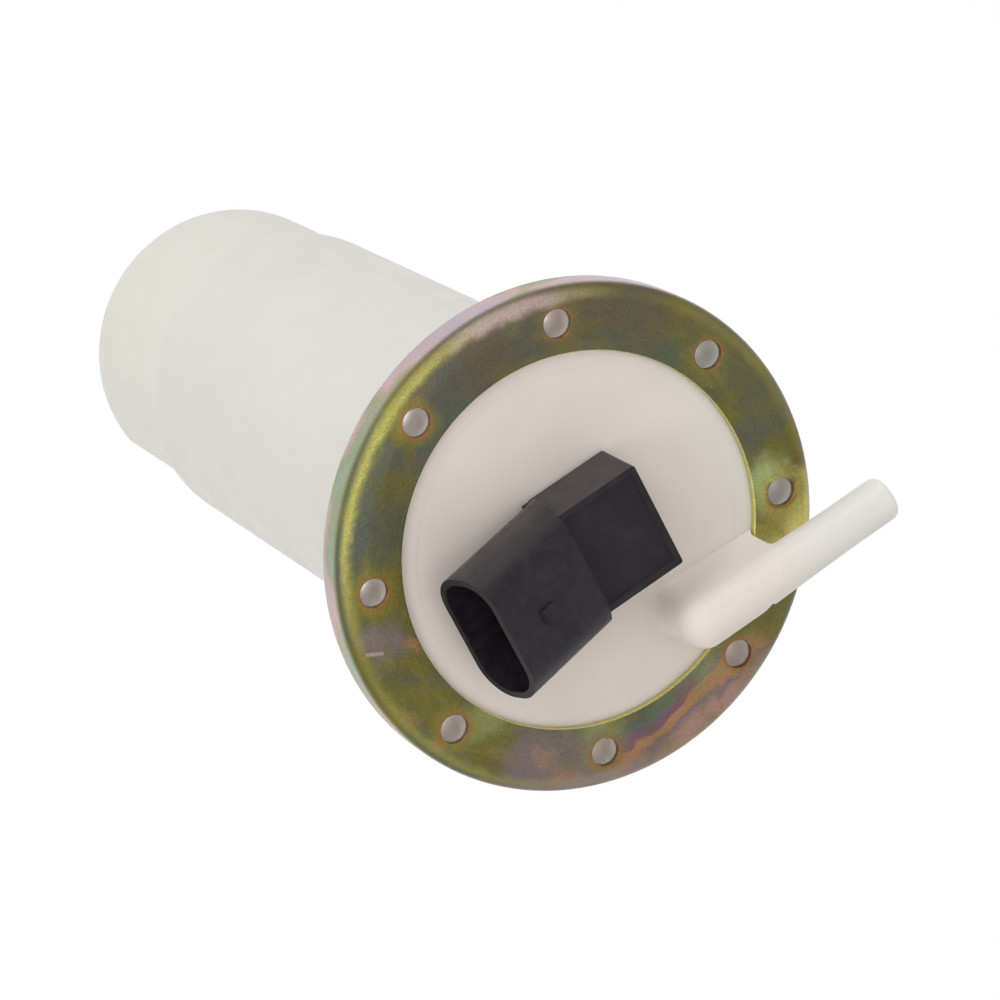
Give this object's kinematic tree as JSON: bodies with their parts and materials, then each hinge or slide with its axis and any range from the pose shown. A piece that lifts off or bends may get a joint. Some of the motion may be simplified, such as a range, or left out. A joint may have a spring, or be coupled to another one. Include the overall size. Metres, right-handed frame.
{
  "type": "fuel tank sending unit",
  "caption": "Tank sending unit: a closed tube hung from a bolted clamp ring, with a sliding float on a stem, a fuel nipple and an oval plug socket on its lid.",
  "frame": {"origin": "centre of the bolt circle, level with the foot of the clamp ring's rim", "axes": "+Z out of the tank along the tube's axis, +X along the fuel nipple"},
  "size_m": [0.1035, 0.0978, 0.2164],
  "materials": {
    "zinc_ring": "yellow zinc plating with rainbow tints",
    "white_plastic": "satin, slightly translucent warm white",
    "black_plastic": "satin black",
    "potting": "cured black resin with small pits",
    "rubber": "matt black",
    "steel": "bright",
    "brass": "bright stamped",
    "wire_sleeve": "smooth sleeve",
    "circuit_board": "green solder mask",
    "reed_glass": "clear",
    "resistor_body": "matt",
    "float_foam": "fine closed-cell skin",
    "magnet": "dark grey",
    "strainer_cloth": "fine woven mesh"
  },
  "bodies": {
    "sender": {"clamp_ring": "zinc_ring", "lid": "white_plastic", "flange_gasket": "rubber", "outer_tube": "white_plastic", "end_cup": "white_plastic", "connector_housing": "black_plastic", "connector_potting": "potting", "connector_seal": "rubber", "connector_screws": "steel", "terminal_signal": "brass", "terminal_ground": "brass", "terminal_warning": "brass", "lead_wires": "wire_sleeve", "guide_stem": "steel", "stem_seal": "rubber", "stem_plug": "black_plastic", "sensor_board": "circuit_board", "reed_switches": "reed_glass", "resistors": "resistor_body", "upper_stop": "steel", "lower_stop": "steel", "pickup_tube": "white_plastic", "pickup_strainer": "strainer_cloth", "inlet_frame": "black_plastic", "inlet_mesh": "steel"},
    "float": {"float_body": "float_foam", "float_magnet": "magnet", "float_cap": "white_plastic"}
  },
  "joints": [
    {"name": "float_slide", "type": "slide", "parent": "sender", "child": "float", "axis": [0, 0, 1], "range_m": [0, 0.1159]}
  ]
}
